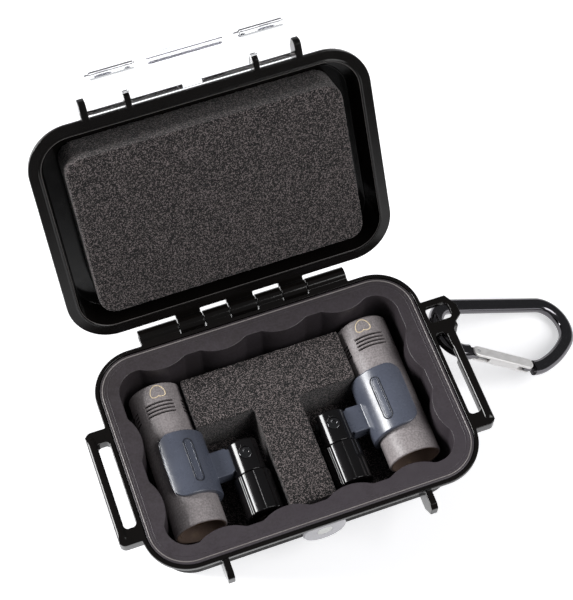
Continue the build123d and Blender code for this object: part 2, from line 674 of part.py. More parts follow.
PLATE_UNDER = PIVOT_AT_Z - LATCH_BARREL_R + 0.05
EAR_NOTCH = INNER_EAR_T + 2 * FIT
with BuildPart() as latch:
    with BuildSketch(at_x(-LATCH_HALF_W)):
        with Locations((PIVOT_AT_Y, PIVOT_AT_Z)):
            Circle(LATCH_BARREL_R)
    extrude(amount=2 * LATCH_HALF_W)
    with BuildSketch(Plane.XY.offset(PLATE_UNDER)):
        with Locations((0, PIVOT_AT_Y - FINGER_REACH / 2)):
            Rectangle(2 * FINGER_HALF_W, FINGER_REACH)
        with Locations((0, PIVOT_AT_Y - HOOK_REACH / 2 + 1)):
            Rectangle(2 * LATCH_HALF_W, HOOK_REACH - 2)
        for side in (-1, 1):
            with Locations((side * (TAB_IN + LATCH_HALF_W) / 2, PIVOT_AT_Y - LATCH_REACH / 2)):
                Rectangle(LATCH_HALF_W - TAB_IN, LATCH_REACH)
    extrude(amount=LATCH_T)
    for side in (-1, 1):
        with BuildSketch(at_x(side * (HOOK_IN + HOOK_OUT) / 2 - (HOOK_OUT - HOOK_IN) / 2)):
            with BuildLine():
                Polyline(
                    (PIVOT_AT_Y - HOOK_REACH, PLATE_UNDER + 0.5),
                    (PIVOT_AT_Y - HOOK_REACH, PLATE_UNDER - HOOK_DEPTH),
                    (PIVOT_AT_Y - HOOK_REACH - 0.8, PLATE_UNDER - HOOK_DEPTH),
                    (PIVOT_AT_Y - HOOK_REACH - HOOK_T, PLATE_UNDER + 0.5),
                    close=True,
                )
            make_face()
        extrude(amount=HOOK_OUT - HOOK_IN)
    # a shallow grip bar along the finger lip
    with BuildSketch(Plane.XY.offset(PLATE_UNDER + LATCH_T)):
        with Locations((0, PIVOT_AT_Y - FINGER_REACH + GRIP_IN)):
            SlotOverall(GRIP_W, 2.4)
    extrude(amount=GRIP_T)
    for side in (-1, 1):
        with BuildSketch(Plane.XY.offset(PIVOT_AT_Z - 3 * LATCH_BARREL_R)):
            with Locations((side * INNER_EAR_X, PIVOT_AT_Y)):
                Rectangle(EAR_NOTCH, 2 * (INNER_EAR_OUT - PIVOT_OUT + FIT + 0.2))
        extrude(amount=6 * LATCH_BARREL_R, mode=Mode.SUBTRACT)
    with BuildSketch(at_x(-LATCH_HALF_W)):
        with Locations((PIVOT_AT_Y, PIVOT_AT_Z)):
            Circle(LATCH_PIN_D / 2 + PIN_RUN)
    extrude(amount=2 * LATCH_HALF_W, mode=Mode.SUBTRACT)
export_lid_piece(latch, "latch")

# ---------------------------------------------------------------- snap hook
with BuildPart() as hook_body:
    with BuildLine(HOOK_PLANE) as wire:
        cx, cy = SMALL_END
        turn = radians(SPINE_TURN)
        spine_start = (cx + SMALL_END_R * sin(turn), cy + SMALL_END_R * cos(turn))
        ThreePointArc((cx, cy - SMALL_END_R), (cx - SMALL_END_R, cy), spine_start)
        last = Line(spine_start, SPINE_END)
        for point in (*BIG_END, NOSE):
            last = TangentArc(last @ 1, point, tangent=last % 1)
    with BuildSketch(Plane(origin=wire.line @ 0, x_dir=(0, 1, 0), z_dir=wire.line % 0)):
        RectangleRounded(WIRE_W, WIRE_T, WIRE_R)
    sweep()
    # flat tongue that carries the gate's pin, and the one that its tip closes on
    with BuildSketch(HOOK_PLANE.offset(-TONGUE_T / 2)):
        with BuildLine():
            Polyline(
                (cx - 0.5, cy - SMALL_END_R - TONGUE_R),
                (GATE_PIVOT[0], GATE_PIVOT[1] - TONGUE_R),
                (GATE_PIVOT[0], GATE_PIVOT[1] + TONGUE_R),
                (cx - 0.5, cy - SMALL_END_R + TONGUE_R),
                close=True,
            )
        make_face()
        with Locations(GATE_PIVOT):
            Circle(TONGUE_R)
        with BuildLine():
            Polyline(
                (NOSE[0] + 0.5, NOSE[1] - 1.3),
                (NOSE[0] - 4.6, NOSE[1] - 0.2),
                (NOSE[0] - 4.4, NOSE[1] + 1.4),
                (NOSE[0] + 0.5, NOSE[1] + 1.3),
                close=True,
            )
        make_face()
    extrude(amount=TONGUE_T)
    with BuildSketch(HOOK_PLANE.offset(-WIRE_T)):
        with Locations(GATE_PIVOT):
            Circle(GATE_PIN_D / 2 + PIN_RUN)
    extrude(amount=2 * WIRE_T, mode=Mode.SUBTRACT)
hook_body.part.label = "hook_body"
export_step(hook_body.part, "parts/hook_body.step")

GATE_RUN = Vector(GATE_TIP[0] - GATE_PIVOT[0], GATE_TIP[1] - GATE_PIVOT[1])
GATE_PLANE = Plane(
    origin=HOOK_PLANE.from_local_coords((*GATE_PIVOT, 0)),
    x_dir=HOOK_PLANE.from_local_coords((*GATE_TIP, 0)) - HOOK_PLANE.from_local_coords((*GATE_PIVOT, 0)),
    z_dir=HOOK_UP,
)
PLUNGER_PLANE = Plane(
    origin=GATE_PLANE.from_local_coords((TONGUE_R + FIT, 0, 0)), z_dir=GATE_PLANE.x_dir
)
FORK = TONGUE_T + 2 * TONGUE_GAP
with BuildPart() as hook_gate:
    with BuildSketch(GATE_PLANE.offset(-GATE_T / 2)):
        with Locations((GATE_RUN.length / 2, 0)):
            SlotCenterToCenter(GATE_RUN.length, GATE_W)
    extrude(amount=GATE_T)
    fillet(hook_gate.edges().filter_by(GATE_PLANE), 0.6)
    with BuildSketch(GATE_PLANE.offset(-FORK / 2)):
        with Locations((0.4, 0)):
            Rectangle(2 * GATE_W + 1.2, 2 * GATE_W)
        with Locations((GATE_RUN.length, 0)):
            Rectangle(8.4, 2 * GATE_W)
    extrude(amount=FORK, mode=Mode.SUBTRACT)
    with BuildSketch(GATE_PLANE.offset(-GATE_T)):
        Circle(GATE_PIN_D / 2)
    extrude(amount=2 * GATE_T, mode=Mode.SUBTRACT)
    with BuildSketch(PLUNGER_PLANE):
        Circle(PLUNGER_D / 2)
    extrude(amount=PLUNGER_L, mode=Mode.SUBTRACT)
hook_gate.part.label = "hook_gate"
export_step(hook_gate.part, "parts/hook_gate.step")

with BuildPart() as gate_plunger:
    with BuildSketch(PLUNGER_PLANE):
        Circle(PLUNGER_D / 2)
    extrude(amount=PLUNGER_L)
gate_plunger.part.label = "gate_plunger"
export_step(gate_plunger.part, "parts/gate_plunger.step")

with BuildPart() as gate_pin:
    with BuildSketch(GATE_PLANE.offset(-GATE_T / 2)):
        Circle(GATE_PIN_D / 2)
    extrude(amount=GATE_T)
gate_pin.part.label = "gate_pin"
export_step(gate_pin.part, "parts/gate_pin.step")

# ---------------------------------------------------------------- the two microphones on their stand clips


def write(piece, side, name):
    label = f"{side}_{name}"
    piece.part.label = label
    export_step(piece.part, f"parts/{label}.step")


def tube(x, z, back, front, radius, bore=0.0):
    """Round bar or tube along Y."""
    with BuildSketch(at_y(back)) as ring:
        with Locations((x, z)):
            Circle(radius)
            if bore:
                Circle(bore, mode=Mode.SUBTRACT)
    extrude(ring.sketch, amount=back - front)


def capsule(x, side):
    bore = MIC_R - MIC_WALL
    with BuildPart() as housing:
        tube(x, MIC_Z, MIC_BACK, MIC_SEAM, MIC_R, bore)
        tube(x, MIC_Z, MIC_BACK, MIC_BACK - GRILLE_T, MIC_R, bore - 1.0)
        chamfer(housing.faces().sort_by(Axis.Y)[-1].outer_wire().edges(), 0.5)
        for row in range(SLOT_ROWS):
            top = MIC_BACK - SLOT_START - row * SLOT_PITCH + SLOT_W / 2
            with BuildSketch(at_y(top)):
                for group in range(SLOT_GROUPS):
                    middle = radians(90 + group * 360 / SLOT_GROUPS)
                    reach = 2 * MIC_R
                    spread = radians(SLOT_ARC / 2)
                    with BuildLine():
                        Polyline(
                            (x, MIC_Z),
                            (x + reach * cos(middle - spread), MIC_Z + reach * sin(middle - spread)),
                            (x + reach * cos(middle + spread), MIC_Z + reach * sin(middle + spread)),
                            close=True,
                        )
                    make_face()
            extrude(amount=SLOT_W, mode=Mode.SUBTRACT)
    write(housing, side, "capsule_housing")
    with BuildPart() as grille:
        grille_back = MIC_BACK - GRILLE_T
        tube(x, MIC_Z, grille_back, grille_back - GRILLE_T, bore)
        with BuildSketch(at_y(grille_back)):
            with Locations((x, MIC_Z)):
                for ring in (2.2, 4.4, 6.6):
                    with PolarLocations(ring, round(ring * 2.7)):
                        Circle(0.7)
        extrude(amount=GRILLE_T, mode=Mode.SUBTRACT)
    write(grille, side, "capsule_grille")
    with BuildPart() as cartridge:
        cartridge_back = MIC_BACK - 2 * GRILLE_T
        tube(x, MIC_Z, cartridge_back, cartridge_back - CARTRIDGE_L, bore)
    write(cartridge, side, "capsule_cartridge")


def preamplifier(x, side):
    bore = MIC_R - MIC_WALL
    with BuildPart() as body:
        tube(x, MIC_Z, MIC_SEAM, MIC_FRONT, MIC_R, bore)
        tube(x, MIC_Z, MIC_SEAM + SLEEVE_L, MIC_SEAM - SLEEVE_L, bore, bore - MIC_WALL)
        tube(x, MIC_Z, MIC_SEAM, MIC_SEAM - SLEEVE_L, MIC_R, bore - MIC_WALL)
        chamfer(body.faces().sort_by(Axis.Y)[0].outer_wire().edges(), 0.4)
    write(body, side, "preamp_tube")
    with BuildPart() as insert:
        tube(x, MIC_Z, INSERT_BACK, INSERT_BACK - INSERT_T, bore)
        with BuildSketch(at_y(INSERT_BACK)):
            with Locations((x, MIC_Z)):
                with PolarLocations(PIN_CIRCLE_R, 3, start_angle=-90):
                    Circle(CONTACT_D / 2)
        extrude(amount=INSERT_T, mode=Mode.SUBTRACT)
    write(insert, side, "connector_insert")
    with BuildPart() as contacts:
        with BuildSketch(at_y(INSERT_BACK)):
            with Locations((x, MIC_Z)):
                with PolarLocations(PIN_CIRCLE_R, 3, start_angle=-90):
                    Circle(CONTACT_D / 2)
        extrude(amount=INSERT_T + CONTACT_L)
    write(contacts, side, "connector_pins")
    with BuildPart() as board:
        with BuildSketch(at_y(INSERT_BACK + BOARD_L)):
            with Locations((x, MIC_Z)):
                Rectangle(BOARD_W, BOARD_T)
        extrude(amount=BOARD_L)
    write(board, side, "amplifier_board")


def stand_clip(x, head_x, toward, side):
    """Spring clip round the tube, with a neck that ends in a flat disc in the swivel head."""
    neck_root = x + toward * (CLIP_R - CLIP_T / 2)
    with BuildPart() as clip:
        tube(x, MIC_Z, CLIP_BACK, CLIP_FRONT, CLIP_R, CLIP_R - CLIP_T)
        gap = radians(180 - CLIP_HALF_ARC)
        with BuildSketch(at_y(CLIP_BACK)):
            with BuildLine():
                Polyline(
                    (x, MIC_Z),
                    (x - toward * 2 * CLIP_R * cos(gap), MIC_Z + 2 * CLIP_R * sin(gap)),
                    (x - toward * 2 * CLIP_R, MIC_Z),
                    (x - toward * 2 * CLIP_R * cos(gap), MIC_Z - 2 * CLIP_R * sin(gap)),
                    close=True,
                )
            make_face()
        extrude(amount=CLIP_BACK - CLIP_FRONT, mode=Mode.SUBTRACT)
        free_ends = clip.faces().filter_by(lambda f: abs(f.area - CLIP_T * (CLIP_BACK - CLIP_FRONT)) < 0.5)
        fillet([e for f in free_ends for e in f.edges() if abs(e.length - CLIP_T) < 0.01], CLIP_CORNER_R)
        with BuildSketch(Plane.XY.offset(MIC_Z - NECK_H / 2)):
            with Locations(((neck_root + head_x - toward * HEAD_R) / 2, (NECK_BACK + NECK_FRONT) / 2)):
                Rectangle(abs(head_x - neck_root) - HEAD_R, NECK_BACK - NECK_FRONT)
        extrude(amount=NECK_H)
        with BuildSketch(Plane.XY.offset(MIC_Z - NECK_H / 2)):
            with Locations(((neck_root + head_x) / 2, PIVOT_Y)):
                Rectangle(abs(head_x - neck_root), 2 * TONGUE_DISC_R)
            with Locations((head_x, PIVOT_Y)):
                Circle(TONGUE_DISC_R)
        extrude(amount=NECK_H)
        with BuildSketch(Plane.XY.offset(MIC_Z - NECK_H)):
            with Locations((head_x, PIVOT_Y)):
                Circle(SCREW_D / 2 + PIN_RUN)
        extrude(amount=2 * NECK_H, mode=Mode.SUBTRACT)
    write(clip, side, "stand_clip")


def swivel(head_x, side):
    cheek = NECK_H / 2
    top = MIC_Z + HEAD_R
    with BuildPart() as head:
        tube(head_x, MIC_Z, HEAD_BACK, HEAD_FRONT, HEAD_R)
        chamfer(head.faces().sort_by(Axis.Y)[-1].edges(), 0.6)
        tube(head_x, MIC_Z, HEAD_FRONT, HEAD_FRONT - SPIGOT_L, SPIGOT_R)
        with BuildSketch(Plane.XY.offset(MIC_Z - cheek)):
            with Locations((head_x, (HEAD_BACK + NECK_FRONT - FIT) / 2)):
                Rectangle(3 * HEAD_R, HEAD_BACK - NECK_FRONT + FIT + 0.01)
        extrude(amount=2 * cheek, mode=Mode.SUBTRACT)
        with BuildSketch(Plane.XY.offset(MIC_Z - HEAD_R)):
            with Locations((head_x, PIVOT_Y)):
                Circle(SCREW_D / 2)
        extrude(amount=2 * HEAD_R, mode=Mode.SUBTRACT)
        with BuildSketch(Plane.XY.offset(top - SCREW_HEAD_T)):
            with Locations((head_x, PIVOT_Y)):
                Circle(SCREW_HEAD_D / 2 + SNUG)
        extrude(amount=2 * SCREW_HEAD_T, mode=Mode.SUBTRACT)
    write(head, side, "swivel_head")
    with BuildPart() as screw:
        with BuildSketch(Plane.XY.offset(MIC_Z - HEAD_R + 0.6)):
            with Locations((head_x, PIVOT_Y)):
                Circle(SCREW_D / 2)
        extrude(amount=2 * HEAD_R - 0.6 - SCREW_HEAD_T)
        with BuildSketch(Plane.XY.offset(top - SCREW_HEAD_T)):
            with Locations((head_x, PIVOT_Y)):
                Circle(SCREW_HEAD_D / 2)
        extrude(amount=SCREW_HEAD_T - 0.4)
        with BuildSketch(Plane.XY.offset(top - 0.4)):
            with Locations((head_x, PIVOT_Y)):
                RegularPolygon(1.25, 6)
        extrude(amount=-0.8, mode=Mode.SUBTRACT)
    write(screw, side, "pivot_screw")


def stand_socket(head_x, side):
    with BuildPart() as socket:
        tube(head_x, MIC_Z, SOCKET_BACK, SOCKET_FRONT, SOCKET_R)
        with BuildSketch(at_y(SOCKET_BACK)):
            with Locations((head_x, MIC_Z)):
                with PolarLocations(SOCKET_R + FLUTE_R / 3, FLUTES):
                    Circle(FLUTE_R)
        extrude(amount=SOCKET_L, mode=Mode.SUBTRACT)
        with BuildSketch(at_y(SOCKET_BACK)):
            with Locations((head_x, MIC_Z)):
                Circle(SPIGOT_R)
        extrude(amount=SPIGOT_L, mode=Mode.SUBTRACT)
        with BuildSketch(at_y(SOCKET_FRONT + THREAD_DEPTH)):
            with Locations((head_x, MIC_Z)):
                Circle(THREAD_R + BUSH_WALL)
        extrude(amount=THREAD_DEPTH, mode=Mode.SUBTRACT)
    write(socket, side, "stand_socket")
    with BuildPart() as bush:
        tube(head_x, MIC_Z, SOCKET_FRONT + THREAD_DEPTH, SOCKET_FRONT, THREAD_R + BUSH_WALL, THREAD_R)
    write(bush, side, "thread_bush")


for side, toward in (("left", 1), ("right", -1)):
    mic_x = -toward * MIC_X
    head_x = -toward * HEAD_X
    capsule(mic_x, side)
    preamplifier(mic_x, side)
    stand_clip(mic_x, head_x, toward, side)
    swivel(head_x, side)
    stand_socket(head_x, side)
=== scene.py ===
"""Looks of a small hard case that holds two microphones in foam. Metres, in the CAD model's own frame."""

import json
from math import cos, pi, radians, sin

import bmesh
import bpy
from mathutils import Matrix, Vector, noise

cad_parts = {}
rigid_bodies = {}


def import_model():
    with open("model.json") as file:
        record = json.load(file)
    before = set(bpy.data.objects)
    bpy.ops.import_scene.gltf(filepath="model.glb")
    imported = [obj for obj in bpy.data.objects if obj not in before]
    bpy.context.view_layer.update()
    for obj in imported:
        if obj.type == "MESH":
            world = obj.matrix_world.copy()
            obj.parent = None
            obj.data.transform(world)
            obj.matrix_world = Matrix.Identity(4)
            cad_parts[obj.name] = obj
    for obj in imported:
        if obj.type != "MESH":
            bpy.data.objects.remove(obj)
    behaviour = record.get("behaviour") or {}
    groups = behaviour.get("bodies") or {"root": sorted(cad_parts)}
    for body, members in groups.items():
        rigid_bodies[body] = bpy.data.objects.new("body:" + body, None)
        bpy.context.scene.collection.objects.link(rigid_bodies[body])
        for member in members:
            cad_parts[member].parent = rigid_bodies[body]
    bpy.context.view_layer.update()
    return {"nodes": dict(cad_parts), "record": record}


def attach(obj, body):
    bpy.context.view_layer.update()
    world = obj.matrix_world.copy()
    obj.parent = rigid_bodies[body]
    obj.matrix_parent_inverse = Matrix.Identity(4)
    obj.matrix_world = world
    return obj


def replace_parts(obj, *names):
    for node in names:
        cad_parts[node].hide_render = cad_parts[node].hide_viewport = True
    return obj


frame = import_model()
nodes = frame["nodes"]
bpy.context.scene.view_settings.view_transform = "Standard"

MM = 0.001

# ------------------------------------------------------------------ the CAD model's own sizes and places
RIM_Z = 38.5 * MM  # top of the base
LID_RIM_Z = 38.8 * MM  # rim of the closed lid
CASE_HALF_W = 63.5 * MM
CASE_HALF_D = 44.35 * MM
CASE_CORNER_R = 16.8 * MM
HINGE_Y = 48.2 * MM
HINGE_Z = 36.75 * MM
LID_OPEN = 119  # degrees from closed to the rest pose
LATCH_PIVOT_Y = -46.0 * MM  # with the lid closed
LATCH_FACE_Z = 40.85 * MM  # outer face of the latch, with the lid closed
LOOP_IN = 68.2 * MM  # inner and outer side of a strap loop's outer bar
LOOP_OUT = 71.5 * MM
MIC_X = 41.7 * MM
MIC_Z = 22.1 * MM
MIC_R = 10.0 * MM
MIC_BACK = 31.1 * MM
HEAD_X = 17.3 * MM  # middle of a stand socket
CLIP_R = 12.2 * MM
SOCKET_R = 7.3 * MM
SOCKET_BACK = -12.55 * MM
SOCKET_FRONT = -28.55 * MM

# ------------------------------------------------------------------ sizes of the pieces made here
SHADE_LINE_Z = RIM_Z - 5.5 * MM  # the base has its outside finish below this height
CROWN_RISE = 0.55 * MM
CROWN_SUNK = 0.35 * MM
CROWN_FRONT = -27.0 * MM
LEFT_CROWN_BACK = 16.0 * MM
RIGHT_CROWN_BACK = 8.0 * MM
TUBE_BORE_R = 9.4 * MM
CATCH_RIB = (17.9, 35.9)  # mm out from the middle
HOOK_PADS = ((19.3, 22.2), (26.0, 33.0))  # mm out from the middle
LIP_BEADS = (  # name, then mm: in from the rim, height, radius
    ("outer_lip_bead", 2.75, 38.15, 0.24),
    ("middle_lip_bead", 3.6, 38.12, 0.13),
    ("inner_lip_bead", 4.6, 38.12, 0.17),
)
LABEL_LINES = (  # name, then mm: width, length, line radius
    ("label_edge", 3.6, 17.4, 0.24),
    ("label_field", 2.3, 15.8, 0.14),
)
LABEL_OUT = 5.4 * MM  # round the clip from its top, towards the case's middle
LABEL_Y = -3.1 * MM
SIGN_OUT = 0.95 * MM
SIGN_Y = 26.0 * MM
SIGN_SIZE = 2.05 * MM

# ------------------------------------------------------------------ camera
CAMERA_ROLL = 0.3  # degrees
camera_data = bpy.data.cameras.new("case_camera")
camera_data.lens = 99.66
camera_data.sensor_width = 36.0
camera_data.clip_start = 0.05
camera_data.clip_end = 20.0
case_camera = bpy.data.objects.new("case_camera", camera_data)
bpy.context.collection.objects.link(case_camera)
bpy.context.scene.camera = case_camera
eye = Vector((-0.0828, -0.2284, RIM_Z + 0.5565))
aim = Vector((0.01628, 0.04440, RIM_Z))
ahead = (aim - eye).normalized()
right = ahead.cross(Vector((0, 0, 1))).normalized()
up = right.cross(ahead)
facing = Matrix((right, up, -ahead)).transposed()
roll = Matrix.Rotation(radians(CAMERA_ROLL), 3, "Z")
case_camera.matrix_world = Matrix.Translation(eye) @ (facing @ roll).to_4x4()


# ------------------------------------------------------------------ finishes
def finish_tree(name):
    material = bpy.data.materials.new(name)
    material.use_nodes = True
    return material, material.node_tree.nodes, material.node_tree.links


def noise_on_piece(parts, links, scale, detail=4.0, stretch=(1, 1, 1)):
    """Noise fixed to the piece's own coordinates; returns its level."""
    place = parts.new("ShaderNodeTexCoord")
    lay = parts.new("ShaderNodeMapping")
    lay.inputs["Scale"].default_value = stretch
    cloud = parts.new("ShaderNodeTexNoise")
    cloud.inputs["Scale"].default_value = scale
    cloud.inputs["Detail"].default_value = detail
    links.new(place.outputs["Object"], lay.inputs["Vector"])
    links.new(lay.outputs["Vector"], cloud.inputs["Vector"])
    return cloud.outputs["Fac"]


def between(parts, links, level, low, high, start=0.0, end=1.0):
    """Turns a level into a value from low to high."""
    spread = parts.new("ShaderNodeMapRange")
    spread.inputs["From Min"].default_value = start
    spread.inputs["From Max"].default_value = end
    spread.inputs["To Min"].default_value = low
    spread.inputs["To Max"].default_value = high
    links.new(level, spread.inputs["Value"])
    return spread.outputs["Result"]


def blend_colours(parts, links, level, dark, light):
    mix = parts.new("ShaderNodeMix")
    mix.data_type = "RGBA"
    mix.inputs[6].default_value = (*dark, 1)
    mix.inputs[7].default_value = (*light, 1)
    links.new(level, mix.inputs[0])
    return mix.outputs[2]


def raised_by(parts, links, level, strength, depth):
    bump = parts.new("ShaderNodeBump")
    bump.inputs["Strength"].default_value = strength
    bump.inputs["Distance"].default_value = depth
    links.new(level, bump.inputs["Height"])
    links.new(bump.outputs["Normal"], parts["Principled BSDF"].inputs["Normal"])


def moulded(name, colour, roughness, grain=900.0, grain_depth=0.05, specular=0.5, fleck=0.15):
    """Moulded or painted surface: clouds and flecks in its colour, cloudy gloss and fine grain."""
    material, parts, links = finish_tree(name)
    shader = parts["Principled BSDF"]
    shader.inputs["Specular IOR Level"].default_value = specular
    flecked = parts.new("ShaderNodeMath")
    flecked.operation = "ADD"
    links.new(noise_on_piece(parts, links, 55.0), flecked.inputs[0])
    flecks = between(parts, links, noise_on_piece(parts, links, 1500.0, 3.0), -fleck, fleck, 0.35, 0.65)
    links.new(flecks, flecked.inputs[1])
    flow = flecked.outputs[0]
    tint = blend_colours(parts, links, flow, [c * 0.8 for c in colour], [c * 1.25 for c in colour])
    links.new(tint, shader.inputs["Base Color"])
    rubbed = noise_on_piece(parts, links, 210.0, 6.0)
    gloss = between(parts, links, rubbed, roughness * 0.85, roughness * 1.2, 0.3, 0.7)
    links.new(gloss, shader.inputs["Roughness"])
    raised_by(parts, links, noise_on_piece(parts, links, grain, 2.0), grain_depth, 0.0001)
    return material


def turned_metal(name, colour, roughness, stretch=(1, 1, 1), metallic=1.0):
    """Turned or drawn metal, brushed along one way."""
    material, parts, links = finish_tree(name)
    shader = parts["Principled BSDF"]
    shader.inputs["Metallic"].default_value = metallic
    brushed = noise_on_piece(parts, links, 900.0, 3.0, stretch)
    darker = [c * 0.88 for c in colour]
    lighter = [min(1.0, c * 1.08) for c in colour]
    tint = blend_colours(parts, links, brushed, darker, lighter)
    links.new(tint, shader.inputs["Base Color"])
    gloss = between(parts, links, brushed, roughness * 0.75, roughness * 1.3, 0.3, 0.7)
    links.new(gloss, shader.inputs["Roughness"])
    raised_by(parts, links, brushed, 0.12, 0.00003)
    return material


def clear_plastic(name, colour, ior, roughness):
    """Clear moulding with faint flow marks."""
    material, parts, links = finish_tree(name)
    shader = parts["Principled BSDF"]
    shader.inputs["Transmission Weight"].default_value = 1.0
    shader.inputs["IOR"].default_value = ior
    flow = noise_on_piece(parts, links, 120.0)
    tint = blend_colours(parts, links, flow, [c * 0.97 for c in colour], colour)
    links.new(tint, shader.inputs["Base Color"])
    links.new(between(parts, links, flow, roughness * 0.6, roughness * 1.6), shader.inputs["Roughness"])
    raised_by(parts, links, flow, 0.02, 0.0002)
    return material


def open_cell_foam(name, dark, light, cell):
    """Cut foam: each open cell has its own shade and a dimple, under a fine grit."""
    material, parts, links = finish_tree(name)
    shader = parts["Principled BSDF"]
    place = parts.new("ShaderNodeTexCoord")
    cells = parts.new("ShaderNodeTexVoronoi")
    cells.inputs["Scale"].default_value = 1 / cell
    shade = parts.new("ShaderNodeSeparateColor")
    links.new(place.outputs["Object"], cells.inputs["Vector"])
    links.new(cells.outputs["Color"], shade.inputs["Color"])
    grit = noise_on_piece(parts, links, 0.8 / cell, 3.0)
    patchy = parts.new("ShaderNodeMath")
    patchy.operation = "MULTIPLY"
    links.new(between(parts, links, shade.outputs["Red"], 0.0, 3.2, 0.45, 1.0), patchy.inputs[0])
    links.new(between(parts, links, grit, 0.0, 1.4, 0.46, 0.58), patchy.inputs[1])
    speckle = blend_colours(parts, links, patchy.outputs[0], dark, light)
    links.new(speckle, shader.inputs["Base Color"])
    shader.inputs["Roughness"].default_value = 0.95
    shader.inputs["Specular IOR Level"].default_value = 0.25
    shader.inputs["Sheen Weight"].default_value = 0.15
    shader.inputs["Sheen Roughness"].default_value = 0.6
    raised_by(parts, links, cells.outputs["Distance"], 0.6, 0.0004)
    return material


def boot_finish_with_painted_shade(name, dark, light):
    """Boot rubber with fine grain and faint clouds; darker toward its back left and paler toward its front right,
    which is painted shade from the standing lid.
    """
    material, parts, links = finish_tree(name)
    shader = parts["Principled BSDF"]
    place = parts.new("ShaderNodeTexCoord")
    along = parts.new("ShaderNodeVectorMath")
    along.operation = "DOT_PRODUCT"
    # painted shade: the colour slopes from dark at the back left, where the lid shades the boot, to pale at the
    # front right
    along.inputs[1].default_value = (2.6, -7.5, 0)
    links.new(place.outputs["Object"], along.inputs[0])
    grain = between(parts, links, noise_on_piece(parts, links, 1300.0, 3.0), -0.3, 0.3, 0.35, 0.65)
    clouds = between(parts, links, noise_on_piece(parts, links, 130.0, 5.0), -0.15, 0.15, 0.35, 0.65)
    level = along.outputs["Value"]
    for more in (grain, clouds):
        added = parts.new("ShaderNodeMath")
        added.operation = "ADD"
        links.new(level, added.inputs[0])
        links.new(more, added.inputs[1])
        level = added.outputs[0]
    level = between(parts, links, level, 0.0, 1.0, -0.62, 0.35)
    links.new(blend_colours(parts, links, level, dark, light), shader.inputs["Base Color"])
    gloss = between(parts, links, noise_on_piece(parts, links, 210.0, 6.0), 0.36, 0.5, 0.3, 0.7)
    links.new(gloss, shader.inputs["Roughness"])
    raised_by(parts, links, noise_on_piece(parts, links, 1300.0, 2.0), 0.14, 0.0001)
    return material


FOAM_DARK = (0.004, 0.0034, 0.0035)
FOAM_LIGHT = (0.2, 0.168, 0.166)
FINISHES = {
    "black_shell": moulded("case_black", (0.005, 0.0042, 0.0038), 0.13, 500.0, 0.015, 0.36),
    "boot_rubber": boot_finish_with_painted_shade("boot_rubber", (0.037, 0.031, 0.033), (0.056, 0.047, 0.055)),
    "foam": open_cell_foam("foam", FOAM_DARK, FOAM_LIGHT, 0.00034),
    "steel": turned_metal("steel", (0.75, 0.75, 0.76), 0.28, (0.1, 1, 1), 0.5),
    "black_steel": turned_metal("blackened_steel", (0.16, 0.16, 0.165), 0.2),
    "valve_plastic": moulded("valve_plastic", (0.5, 0.49, 0.52), 0.08, 700.0, 0.02),
    "membrane": moulded("valve_membrane", (0.8, 0.8, 0.78), 0.6, 2500.0, 0.2),
    "seal_rubber": moulded("seal_rubber", (0.02, 0.02, 0.02), 0.6),
    "clear_plastic": clear_plastic("clear_plastic", (0.97, 0.98, 0.985), 1.1, 0.03),
    "black_anodised": turned_metal("hook_black", (0.15, 0.145, 0.155), 0.13),
    "bright_aluminium": turned_metal("bright_aluminium", (0.93, 0.91, 0.9), 0.42, (0.3, 1, 1), 0.45),
    "grey_lacquer": moulded("grey_lacquer", (0.29, 0.262, 0.265), 0.46, 2600.0, 0.22, 0.45, 0.55),
    "mesh_metal": turned_metal("mesh_metal", (0.35, 0.35, 0.36), 0.4),
    "brass": turned_metal("blackened_brass", (0.035, 0.03, 0.027), 0.35),
    "insert_plastic": moulded("insert_plastic", (0.06, 0.042, 0.035), 0.5),
    "gold_contacts": turned_metal("gold_contacts", (0.85, 0.66, 0.32), 0.2),
    "board": moulded("board", (0.03, 0.12, 0.06), 0.4),
    "clip_plastic": moulded("clip_plastic", (0.092, 0.102, 0.136), 0.27, 1600.0, 0.03, 0.7),
    "adapter_plastic": moulded("adapter_plastic", (0.006, 0.0055, 0.006), 0.15, 800.0, 0.01),
}
# grey on the clear latch's ribs and pads: painted shading standing in for the light and shade lines of clear ribs
RIB_PAINTED_SHADE = moulded("rib_painted_shade", (0.16, 0.15, 0.17), 0.25)
PAD_PAINTED_SHADING = moulded("pad_painted_shading", (0.42, 0.41, 0.47), 0.25)
LATCH_PIN = turned_metal("latch_pin", (0.16, 0.15, 0.15), 0.3, (0.1, 1, 1))
PRINT_GOLD = moulded("gold_print", (0.92, 0.76, 0.52), 0.4, 3000.0, 0.1)
# darker line round the clip's label: painted shade, the shade in the label's recessed outline
LABEL_PAINTED_SHADE = moulded("label_edge_painted_shade", (0.022, 0.025, 0.036), 0.35, 1600.0, 0.05)
OUTSIDE = moulded("case_outside", (0.006, 0.005, 0.005), 0.6, 1200.0, 0.2, 0.08)
BORE_BROWN = moulded("bore_brown", (0.27, 0.19, 0.155), 0.3, 1600.0, 0.1)
# lighter colour on the lid's inner rim bead: a painted highlight, the light line along the bead
RIM_PAINTED_HIGHLIGHT = moulded("rim_bead_painted_highlight", (0.1, 0.092, 0.088), 0.3)
# pale colour on the boot's outer lip bead: a painted highlight along the raised bead
BEAD_PAINTED_HIGHLIGHT = moulded("bead_painted_highlight", (0.24, 0.22, 0.215), 0.25)
slot_of = {}
for part in frame["record"]["subparts"]:
    slot_of[part["node"]] = part["material_slot"]
    for place in nodes[part["node"]].material_slots:
        place.material = FINISHES[part["material_slot"]]


# ------------------------------------------------------------------ making pieces
def plain_mesh(maker):
    """The maker's finished mesh; the maker goes."""
    made = bpy.data.meshes.new_from_object(maker.evaluated_get(bpy.context.evaluated_depsgraph_get()))
    bpy.data.objects.remove(maker)
    return made


